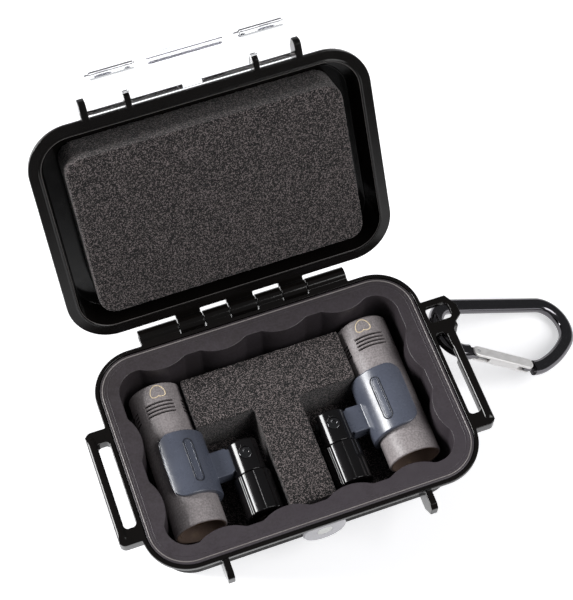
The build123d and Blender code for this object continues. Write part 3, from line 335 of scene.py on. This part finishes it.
def new_object(name, data):
    piece = bpy.data.objects.new(name, data)
    bpy.context.collection.objects.link(piece)
    return piece


def shade_smooth(mesh):
    for face in mesh.polygons:
        face.use_smooth = True


def mesh_of(work, name):
    """The drawing as a mesh; the drawing goes."""
    mesh = bpy.data.meshes.new(name)
    work.to_mesh(mesh)
    work.free()
    return mesh


def skin_over(work, rings):
    """Closes a row of equal rings into one solid."""
    for a, b in zip(rings, rings[1:]):
        for n in range(len(a)):
            m = (n + 1) % len(a)
            work.faces.new((a[n], a[m], b[m], b[n]))
    work.faces.new(rings[0])
    work.faces.new(rings[-1])
    bmesh.ops.recalc_face_normals(work, faces=work.faces)


def merged_copy(node):
    """A copy of a CAD piece's mesh with its points merged and its flat faces whole."""
    same_point = 0.004 * MM
    flat_within = radians(0.6)
    work = bmesh.new()
    work.from_mesh(nodes[node].data)
    bmesh.ops.remove_doubles(work, verts=work.verts, dist=same_point)
    bmesh.ops.dissolve_limit(work, angle_limit=flat_within, verts=work.verts, edges=work.edges)
    return mesh_of(work, node + "_shape")


def put_on(piece, body, finish_slot, finish=None):
    piece.data.materials.clear()
    piece.data.materials.append(finish or FINISHES[finish_slot])
    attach(piece, body)
    return piece


def eased(node, body, width, segments=2):
    """Stands for a CAD piece, with its sharp edges eased as a mould or cutter leaves them."""
    sharp_from = radians(38.0)
    maker = new_object(node + "_maker", merged_copy(node))
    edge = maker.modifiers.new("eased_edge", "BEVEL")
    edge.width = width
    edge.segments = segments
    edge.limit_method = "ANGLE"
    edge.angle_limit = sharp_from
    edge.use_clamp_overlap = False
    edge.miter_outer = "MITER_ARC"
    shade_smooth(maker.data)
    level = maker.modifiers.new("even_shading", "WEIGHTED_NORMAL")
    level.keep_sharp = True
    piece = new_object(node + "_eased", plain_mesh(maker))
    put_on(piece, body, slot_of[node])
    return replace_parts(piece, node)


def line_bore(piece, x, z, within, finish):
    """Gives the faces near a tube's middle line their own finish."""
    piece.data.materials.append(finish)
    for face in piece.data.polygons:
        if Vector((face.center.x - x, face.center.z - z)).length < within:
            face.material_index = 1


def cut_foam(node, body, grid, cell, pit):
    """A block of cut foam: softened edges, slow waves and open cells on its faces."""
    wave = 0.12 * MM
    wave_length = 9 * MM
    maker = new_object(node + "_maker", merged_copy(node))
    skin = maker.modifiers.new("even_skin", "REMESH")
    skin.mode = "VOXEL"
    skin.voxel_size = grid
    soft = maker.modifiers.new("soft_edge", "SMOOTH")
    soft.factor = 0.5
    soft.iterations = 4
    piece = new_object(node + "_cut", plain_mesh(maker))
    normals = [v.normal.copy() for v in piece.data.vertices]
    for vertex, out in zip(piece.data.vertices, normals):
        near = noise.voronoi(vertex.co / cell)[0][0]
        slow = noise.noise(vertex.co / wave_length)
        vertex.co -= out * (pit * max(0.0, 1.0 - 1.5 * near) + wave * (0.5 + 0.5 * slow))
    shade_smooth(piece.data)
    put_on(piece, body, slot_of[node])
    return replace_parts(piece, node)


class Maker:
    """A small kit for a geometry tree: named sizes in, one finished mesh out."""

    def __init__(self, name, sizes):
        self.tree = bpy.data.node_groups.new(name, "GeometryNodeTree")
        self.ids = {}
        self.tree.interface.new_socket("Geometry", in_out="OUTPUT", socket_type="NodeSocketGeometry")
        self.take("Geometry", "NodeSocketGeometry")
        for label in sizes:
            self.take(label, "NodeSocketFloat")
        self.take("Finish", "NodeSocketMaterial")
        self.given = self.tree.nodes.new("NodeGroupInput")

    def take(self, label, kind):
        """A named input of the tree."""
        self.ids[label] = self.tree.interface.new_socket(label, in_out="INPUT", socket_type=kind).identifier

    def step(self, kind, **values):
        """A new node; values name its inputs, and a value that is another node's output becomes a link."""
        node = self.tree.nodes.new(kind)
        for label, value in values.items():
            self.feed(node, label.replace("_", " "), value)
        return node

    def feed(self, node, socket, value):
        target = node.inputs[socket]
        if isinstance(value, bpy.types.NodeSocket):
            self.tree.links.new(value, target)
        else:
            target.default_value = value

    def size(self, label):
        return self.given.outputs[label]

    def work_out(self, operation, a, b):
        """The result of one or two values under a math node's operation."""
        node = self.tree.nodes.new("ShaderNodeMath")
        node.operation = operation
        for n, value in enumerate((a, b)):
            if value is not None:
                self.feed(node, n, value)
        return node.outputs[0]

    def point(self, x, y, z):
        return self.step("ShaderNodeCombineXYZ", X=x, Y=y, Z=z).outputs[0]

    def finish(self, geometry):
        smooth = self.step("GeometryNodeSetShadeSmooth", Geometry=geometry)
        real = self.step("GeometryNodeRealizeInstances", Geometry=smooth.outputs[0])
        painted = self.step("GeometryNodeSetMaterial", Geometry=real.outputs[0], Material=self.size("Finish"))
        out = self.tree.nodes.new("NodeGroupOutput")
        self.tree.links.new(painted.outputs[0], out.inputs[0])

    def make(self, name, body, slot, base=None, finish=None, **sizes):
        maker = new_object(name + "_maker", base or bpy.data.meshes.new(name + "_base"))
        live = maker.modifiers.new(name, "NODES")
        live.node_group = self.tree
        for label, value in sizes.items():
            live[self.ids[label.replace("_", " ")]] = float(value)
        live[self.ids["Finish"]] = finish or FINISHES[slot]
        piece = new_object(name, plain_mesh(maker))
        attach(piece, body)
        return piece


def bead_round_a_rim():
    """A bead that follows a rounded rectangle."""
    kit = Maker("bead_round_a_rim", ("Across", "Deep", "Corner", "Height", "Bead radius"))
    outline = kit.step(
        "GeometryNodeCurvePrimitiveQuadrilateral", Width=kit.size("Across"), Height=kit.size("Deep")
    )
    corners = kit.tree.nodes.new("GeometryNodeFilletCurve")
    corners.mode = "POLY"
    kit.feed(corners, "Curve", outline.outputs[0])
    kit.feed(corners, "Radius", kit.size("Corner"))
    kit.feed(corners, "Count", 24)
    level = kit.point(0.0, 0.0, kit.size("Height"))
    placed = kit.step("GeometryNodeSetPosition", Geometry=corners.outputs[0], Offset=level)
    round_bead = kit.step("GeometryNodeCurvePrimitiveCircle", Resolution=10, Radius=kit.size("Bead radius"))
    bead = kit.step("GeometryNodeCurveToMesh", Curve=placed.outputs[0], Profile_Curve=round_bead.outputs[0])
    kit.finish(bead.outputs[0])
    return kit


def line_on_a_tube():
    """Wraps a flat drawing of lines round a tube that runs along Y, as a raised line."""
    kit = Maker("line_on_a_tube", ("Middle X", "Middle Z", "Tube radius", "Line radius"))
    path = kit.step("GeometryNodeMeshToCurve", Mesh=kit.given.outputs["Geometry"])
    flat = kit.step("GeometryNodeInputPosition")
    apart = kit.step("ShaderNodeSeparateXYZ", Vector=flat.outputs[0])
    turn = kit.work_out("DIVIDE", apart.outputs[0], kit.size("Tube radius"))
    across = kit.work_out("MULTIPLY", kit.work_out("SINE", turn, None), kit.size("Tube radius"))
    rise = kit.work_out("MULTIPLY", kit.work_out("COSINE", turn, None), kit.size("Tube radius"))
    spot = kit.point(
        kit.work_out("ADD", across, kit.size("Middle X")),
        apart.outputs[1],
        kit.work_out("ADD", rise, kit.size("Middle Z")),
    )
    wrapped = kit.step("GeometryNodeSetPosition", Geometry=path.outputs[0], Position=spot)
    wire = kit.step("GeometryNodeCurvePrimitiveCircle", Resolution=8, Radius=kit.size("Line radius"))
    line = kit.step(
        "GeometryNodeCurveToMesh", Curve=wrapped.outputs[0], Profile_Curve=wire.outputs[0], Fill_Caps=True
    )
    kit.finish(line.outputs[0])
    return kit


def screw_thread():
    """The thread's crest inside a bush that runs along Y."""
    kit = Maker("screw_thread", ("Radius", "Length", "Pitch", "Crest", "Middle X", "Front Y", "Middle Z"))
    spiral = kit.step(
        "GeometryNodeCurveSpiral",
        Resolution=28,
        Rotations=kit.work_out("DIVIDE", kit.size("Length"), kit.size("Pitch")),
        Start_Radius=kit.size("Radius"),
        End_Radius=kit.size("Radius"),
        Height=kit.size("Length"),
    )
    crest = kit.step("GeometryNodeCurvePrimitiveCircle", Resolution=4, Radius=kit.size("Crest"))
    ridge = kit.step(
        "GeometryNodeCurveToMesh", Curve=spiral.outputs[0], Profile_Curve=crest.outputs[0], Fill_Caps=True
    )
    laid = kit.step(
        "GeometryNodeTransform",
        Geometry=ridge.outputs[0],
        Translation=kit.point(kit.size("Middle X"), kit.size("Front Y"), kit.size("Middle Z")),
        Rotation=(radians(-90), 0, 0),
    )
    kit.finish(laid.outputs[0])
    return kit


def wire_cloth():
    """A disc of crossed wires, facing along Y."""
    kit = Maker("wire_cloth", ("Radius", "Pitch", "Wire radius", "Middle X", "Back Y", "Middle Z"))
    reach = kit.size("Radius")
    count = kit.work_out("DIVIDE", kit.work_out("MULTIPLY", reach, 2.0), kit.size("Pitch"))
    start = kit.point(kit.work_out("MULTIPLY", reach, -0.995), 0.0, 0.0)
    row = kit.step(
        "GeometryNodeMeshLine",
        Count=count,
        Start_Location=start,
        Offset=kit.point(kit.size("Pitch"), 0.0, 0.0),
    )
    apart = kit.step("ShaderNodeSeparateXYZ", Vector=kit.step("GeometryNodeInputPosition").outputs[0])
    across = kit.work_out("POWER", apart.outputs[0], 2.0)
    half = kit.work_out("SQRT", kit.work_out("SUBTRACT", kit.work_out("POWER", reach, 2.0), across), None)
    line = kit.step("GeometryNodeCurvePrimitiveLine", Start=(0, -1, 0), End=(0, 1, 0))
    ring = kit.step("GeometryNodeCurvePrimitiveCircle", Resolution=5, Radius=kit.size("Wire radius"))
    wire = kit.step(
        "GeometryNodeCurveToMesh", Curve=line.outputs[0], Profile_Curve=ring.outputs[0], Fill_Caps=True
    )
    warp = kit.step(
        "GeometryNodeInstanceOnPoints",
        Points=row.outputs[0],
        Instance=wire.outputs[0],
        Scale=kit.point(1.0, half, 1.0),
    )
    weft = kit.step(
        "GeometryNodeTransform",
        Geometry=warp.outputs[0],
        Translation=kit.point(0.0, 0.0, kit.work_out("MULTIPLY", kit.size("Wire radius"), 1.6)),
        Rotation=(0, 0, radians(90)),
    )
    both = kit.step("GeometryNodeJoinGeometry")
    kit.tree.links.new(warp.outputs[0], both.inputs[0])
    kit.tree.links.new(weft.outputs[0], both.inputs[0])
    stood = kit.step(
        "GeometryNodeTransform",
        Geometry=both.outputs[0],
        Translation=kit.point(kit.size("Middle X"), kit.size("Back Y"), kit.size("Middle Z")),
        Rotation=(radians(90), 0, 0),
    )
    kit.finish(stood.outputs[0])
    return kit


def drawn_loop(name, points):
    """A closed line through flat points, as edges only."""
    mesh = bpy.data.meshes.new(name)
    loop = [(i, (i + 1) % len(points)) for i in range(len(points))]
    mesh.from_pydata([(x, y, 0.0) for x, y in points], loop, [])
    return mesh


def stadium(middle, y, width, length, steps=12):
    """Points round a long label with round ends."""
    radius = width / 2
    straight = length / 2 - radius
    points = []
    for end, turn in ((1, 0.0), (-1, pi)):
        for n in range(steps + 1):
            angle = turn + pi * n / steps
            points.append((middle + radius * cos(angle), y + end * straight + radius * sin(angle)))
    return points


def heart_loop(middle, y, size, steps=48):
    """Generic sign for a one-sided pick-up pattern: a round loop with a notch at its front."""
    widening = 1.08
    droop = 0.17
    points = []
    for n in range(steps):
        angle = -pi / 2 + 2 * pi * n / steps
        reach = size * (1 + sin(angle))
        across = widening * reach * cos(angle)
        points.append((middle + across, y + reach * sin(angle) - droop * across**2 / size))
    return points


def ribbed_sleeve(name, head_x):
    """Stand socket: nine slightly flat faces between narrow grooves, with a blind hole at each end."""
    faces = 9
    first = radians(12)
    shoulder = radians(5.2)  # half a groove
    slope = 0.62 * shoulder
    groove_r = SOCKET_R - 0.42 * MM
    slope_r = SOCKET_R - 0.3 * MM
    steps = 10
    flatness = 0.28
    work = bmesh.new()

    def ring(y, reach, ribbed=True):
        loop = []
        for face in range(faces):
            start = first + 2 * pi * face / faces
            span = 2 * pi / faces - 2 * shoulder
            groove = [(start, groove_r), (start + slope, slope_r)]
            crown = []
            for n in range(steps + 1):
                angle = start + shoulder + span * n / steps
                flat = cos(span / 2) / cos(angle - start - pi / faces)
                ease = 0.09 * MM if n in (0, steps) else 0.0
                crown.append((angle, SOCKET_R * (1 - flatness + flatness * flat) - ease))
            back = [(start + 2 * pi / faces - slope, slope_r)]
            for angle, radius in groove + crown + back:
                r = radius * reach / SOCKET_R if ribbed else reach
                loop.append(work.verts.new((head_x + r * cos(angle), y, MIC_Z + r * sin(angle))))
        return loop

    hole_end = SOCKET_BACK - 3.0 * MM
    bore_end = SOCKET_FRONT + 12.0 * MM
    middle = 0.3 * MM
    spigot = 3.4 * MM
    bore = 6.0 * MM
    soft = 0.45 * MM
    rings = [
        ring(hole_end, middle, False),
        ring(hole_end, spigot, False),
        ring(SOCKET_BACK, spigot, False),
        ring(SOCKET_BACK, SOCKET_R - soft),
        ring(SOCKET_BACK - 0.3 * soft, SOCKET_R - 0.3 * soft),
        ring(SOCKET_BACK - soft, SOCKET_R),
        ring(SOCKET_FRONT + soft, SOCKET_R),
        ring(SOCKET_FRONT + 0.3 * soft, SOCKET_R - 0.3 * soft),
        ring(SOCKET_FRONT, SOCKET_R - soft),
        ring(SOCKET_FRONT, bore, False),
        ring(bore_end, bore, False),
        ring(bore_end, middle, False),
    ]
    skin_over(work, rings)
    mesh = mesh_of(work, name)
    maker = new_object(name + "_maker", mesh)
    shade_smooth(mesh)
    level = maker.modifiers.new("even_shading", "WEIGHTED_NORMAL")
    level.weight = 80
    return new_object(name, plain_mesh(maker))


# ------------------------------------------------------------------ hard pieces with eased edges
def bar_crown(name, low_x, high_x, front, back, rise):
    """The rounded top of a strap loop's outer bar, dying away at both ends."""
    steps = 32
    turns = 14
    fade = 14  # full height from this part of its length in
    drawing = bmesh.new()
    rows = []
    for step in range(steps + 1):
        along = step / steps
        y = front + (back - front) * along
        swell = min(1.0, min(along, 1 - along) * fade) ** 0.5
        row = []
        for turn in range(turns + 1):
            angle = pi * turn / turns
            x = (low_x + high_x) / 2 - (high_x - low_x) / 2 * cos(angle)
            z = RIM_Z - CROWN_SUNK + (rise + CROWN_SUNK) * sin(angle) * swell
            row.append(drawing.verts.new((x, y, z)))
        rows.append(row)
    for one, two in zip(rows, rows[1:]):
        for n in range(turns):
            drawing.faces.new((one[n], one[n + 1], two[n + 1], two[n]))
        drawing.faces.new((two[0], two[turns], one[turns], one[0]))
    drawing.faces.new(rows[0][::-1])
    drawing.faces.new(rows[-1])
    bmesh.ops.recalc_face_normals(drawing, faces=drawing.faces)
    mesh = mesh_of(drawing, name)
    for face in mesh.polygons:
        face.use_smooth = len(face.vertices) == 4
    put_on(new_object(name, mesh), "base", "black_shell")


shell = eased("base_shell", "base", 0.28 * MM)
shell.data.materials.append(OUTSIDE)
for face in shell.data.polygons:
    if face.center.z < SHADE_LINE_Z and abs(face.center.x) < CASE_HALF_W + 1 * MM:
        face.material_index = 1
bar_crown("left_bar_crown", -LOOP_OUT, -LOOP_IN, CROWN_FRONT, LEFT_CROWN_BACK, CROWN_RISE)
bar_crown("right_bar_crown", LOOP_IN, LOOP_OUT, CROWN_FRONT, RIGHT_CROWN_BACK, CROWN_RISE)
eased("base_boot", "base", 0.3 * MM)
eased("lid_shell", "lid", 0.28 * MM)
eased("latch", "latch", 0.22 * MM)
eased("hook_gate", "gate", 0.12 * MM)
for side in ("left", "right"):
    mic = side + "_microphone"
    eased(side + "_stand_clip", mic, 0.45 * MM, segments=3)
    eased(side + "_swivel_head", mic, 0.3 * MM)
    eased(side + "_pivot_screw", mic, 0.22 * MM)
    tube = eased(side + "_preamp_tube", mic, 0.15 * MM)
    line_bore(tube, -MIC_X if side == "left" else MIC_X, MIC_Z, TUBE_BORE_R, BORE_BROWN)
    eased(side + "_capsule_housing", mic, 0.12 * MM)

for place in nodes["latch_pins"].material_slots:
    place.material = LATCH_PIN


# ------------------------------------------------------------------ ribs on the clear latch
def open_lid(x, y, z):
    """A place on the closed lid or latch, as it is with the lid open."""
    turn = radians(-LID_OPEN)
    back = y - HINGE_Y
    rise = z - HINGE_Z
    return (x, HINGE_Y + back * cos(turn) - rise * sin(turn), HINGE_Z + back * sin(turn) + rise * cos(turn))


def latch_rib(name, low_x, high_x, reach, width, height, finish):
    """A rounded rib on the latch's outer face, reach from its pivot."""
    work = bmesh.new()
    sides = 12
    loops = [(low_x, 0.15), (low_x + 0.3 * width, 0.8), (low_x + width, 1.0)]
    loops += [(high_x - width, 1.0), (high_x - 0.3 * width, 0.8), (high_x, 0.15)]
    rings = []
    for x, scale in loops:
        ring = []
        for n in range(sides):
            angle = 2 * pi * n / sides
            y = LATCH_PIVOT_Y - reach + scale * width / 2 * cos(angle)
            z = LATCH_FACE_Z + scale * height * max(-0.25, sin(angle))
            ring.append(work.verts.new(open_lid(x, y, z)))
        rings.append(ring)
    skin_over(work, rings)
    mesh = mesh_of(work, name)
    shade_smooth(mesh)
    put_on(new_object(name, mesh), "latch", "clear_plastic", finish)


# the ribs and pads carry painted shading, though the latch is clear
for side, sign in (("left", -1), ("right", 1)):
    ends = sorted(sign * end * MM for end in CATCH_RIB)
    latch_rib(side + "_catch_rib", *ends, reach=13.6 * MM, width=0.5 * MM, height=0.4 * MM, finish=RIB_PAINTED_SHADE)
    for n, pad in enumerate(HOOK_PADS):
        ends = sorted(sign * end * MM for end in pad)
        latch_rib(f"{side}_hook_pad_{n}", *ends, reach=12.2 * MM, width=1.7 * MM, height=0.3 * MM, finish=PAD_PAINTED_SHADING)
latch_rib("grip_rib", -13.4 * MM, 13.4 * MM, reach=11.6 * MM, width=0.8 * MM, height=1.0 * MM, finish=PAD_PAINTED_SHADING)
latch_rib("grip_edge", -13.9 * MM, 13.9 * MM, reach=13.4 * MM, width=0.4 * MM, height=0.4 * MM, finish=PAD_PAINTED_SHADING)

# ------------------------------------------------------------------ foam
cut_foam("lid_foam", "lid", grid=0.6 * MM, cell=1.1 * MM, pit=0.3 * MM)
cut_foam("divider_foam", "base", grid=0.5 * MM, cell=1.1 * MM, pit=0.3 * MM)
cut_foam("floor_foam", "base", grid=0.9 * MM, cell=1.6 * MM, pit=0.3 * MM)

# ------------------------------------------------------------------ beads, threads, cloth, labels and signs
beads = bead_round_a_rim()
tube_lines = line_on_a_tube()
threads = screw_thread()
cloths = wire_cloth()
for name, inset, height, radius in LIP_BEADS:
    beads.make(
        name,
        "base",
        "boot_rubber",
        Across=2 * (CASE_HALF_W - inset * MM),
        Deep=2 * (CASE_HALF_D - inset * MM),
        Corner=CASE_CORNER_R - inset * MM,
        Height=height * MM,
        Bead_radius=radius * MM,
        # the outer bead carries a painted highlight
        finish=BEAD_PAINTED_HIGHLIGHT if name == "outer_lip_bead" else None,
    )


def lid_bead(name, inset, radius, finish):
    """The thin raised edge round the inside of the lid's rim."""
    sides = 10
    steps = 48
    drawing = bmesh.new()
    corner = CASE_CORNER_R - inset
    rings = []
    for turn in range(steps):
        angle = 2 * pi * (turn + 0.5) / steps
        quarter = pi / 2 * (turn // 12)
        toward = Vector((cos(quarter) - sin(quarter), sin(quarter) + cos(quarter)))
        along = quarter + (angle - quarter - pi / 96) * 12 / 11
        outward = Vector((cos(along), sin(along)))
        middle = Vector((toward.x * (CASE_HALF_W - CASE_CORNER_R), toward.y * (CASE_HALF_D - CASE_CORNER_R)))
        ring = []
        for n in range(sides):
            lean = 2 * pi * n / sides
            place = middle + outward * (corner + radius * cos(lean))
            ring.append(drawing.verts.new(open_lid(place.x, place.y, LID_RIM_Z + radius * sin(lean))))
        rings.append(ring)
    for a, b in zip(rings, rings[1:] + rings[:1]):
        for n in range(sides):
            m = (n + 1) % sides
            drawing.faces.new((a[n], b[n], b[m], a[m]))
    bmesh.ops.recalc_face_normals(drawing, faces=drawing.faces)
    mesh = mesh_of(drawing, name)
    shade_smooth(mesh)
    put_on(new_object(name, mesh), "lid", "black_shell", finish)


# the lid's rim bead carries a painted highlight
lid_bead("lid_rim_bead", inset=4.3 * MM, radius=0.2 * MM, finish=RIM_PAINTED_HIGHLIGHT)
for side, toward in (("left", 1), ("right", -1)):
    mic = side + "_microphone"
    mic_x = -toward * MIC_X
    head_x = -toward * HEAD_X
    sleeve = put_on(ribbed_sleeve(side + "_ribbed_sleeve", head_x), mic, "adapter_plastic")
    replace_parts(sleeve, side + "_stand_socket")
    threads.make(
        side + "_bush_thread",
        mic,
        "brass",
        Radius=4.8 * MM,
        Length=11.0 * MM,
        Pitch=1.6 * MM,
        Crest=0.3 * MM,
        Middle_X=head_x,
        Front_Y=SOCKET_FRONT + 0.5 * MM,
        Middle_Z=MIC_Z,
    )
    cloths.make(
        side + "_capsule_cloth",
        mic,
        "mesh_metal",
        Radius=8.7 * MM,
        Pitch=0.42 * MM,
        Wire_radius=0.09 * MM,
        Middle_X=mic_x,
        Back_Y=MIC_BACK - 0.35 * MM,
        Middle_Z=MIC_Z,
    )
    tube_lines.make(
        side + "_pattern_sign",
        mic,
        "gold_contacts",
        base=drawn_loop(side + "_sign_line", heart_loop(toward * SIGN_OUT, SIGN_Y, SIGN_SIZE)),
        finish=PRINT_GOLD,
        Middle_X=mic_x,
        Middle_Z=MIC_Z,
        Tube_radius=MIC_R,
        Line_radius=0.19 * MM,
    )
    # the label's edge line carries painted shade
    for name, width, length, line in LABEL_LINES:
        tube_lines.make(
            side + "_" + name,
            mic,
            "clip_plastic",
            base=drawn_loop(side + name, stadium(toward * LABEL_OUT, LABEL_Y, width * MM, length * MM)),
            finish=LABEL_PAINTED_SHADE if name == "label_edge" else None,
            Middle_X=mic_x,
            Middle_Z=MIC_Z,
            Tube_radius=CLIP_R + 0.04 * MM,
            Line_radius=line * MM,
        )

# ------------------------------------------------------------------ floor, backdrop and light
floor_material, parts, links = finish_tree("floor")
paper = parts["Principled BSDF"]
paper.inputs["Base Color"].default_value = (0.92, 0.92, 0.93, 1)
paper.inputs["Roughness"].default_value = 0.9
paper.inputs["Emission Color"].default_value = (0.985, 0.985, 1.0, 1)


def seen_directly(parts, links, strength):
    """The strength for what the camera, a gloss or a clear piece sees, and none for light on the object."""
    ray = parts.new("ShaderNodeLightPath")
    seen = ray.outputs["Is Camera Ray"]
    for kind in ("Is Glossy Ray", "Is Transmission Ray"):
        either = parts.new("ShaderNodeMath")
        either.operation = "MAXIMUM"
        links.new(seen, either.inputs[0])
        links.new(ray.outputs[kind], either.inputs[1])
        seen = either.outputs[0]
    level = parts.new("ShaderNodeMath")
    level.operation = "MULTIPLY"
    level.inputs[1].default_value = strength
    links.new(seen, level.inputs[0])
    return level.outputs[0]


links.new(seen_directly(parts, links, 0.52), paper.inputs["Emission Strength"])
bpy.ops.mesh.primitive_plane_add(size=6.0, location=(0, 0, 0))
floor = bpy.context.object
floor.name = "floor"
floor.data.materials.append(floor_material)

world = bpy.data.worlds.new("studio")
bpy.context.scene.world = world
world.use_nodes = True
world.node_tree.nodes["Background"].inputs["Color"].default_value = (0.9, 0.92, 0.95, 1)
world.node_tree.nodes["Background"].inputs["Strength"].default_value = 0.12


CASE_MIDDLE = (0, 0, 0.03)


def softbox(name, place, size, power):
    light = bpy.data.lights.new(name, "AREA")
    light.shape = "RECTANGLE"
    light.size, light.size_y = size
    light.energy = power
    lamp = bpy.data.objects.new(name, light)
    bpy.context.collection.objects.link(lamp)
    lamp.location = place
    lamp.rotation_euler = (Vector(CASE_MIDDLE) - Vector(place)).to_track_quat("-Z", "Y").to_euler()


softbox("left_softbox", (-0.80, 0.33, 0.48), size=(0.34, 0.44), power=11.0)
softbox("right_softbox", (0.7, -0.55, 1.0), size=(0.7, 0.9), power=11.0)
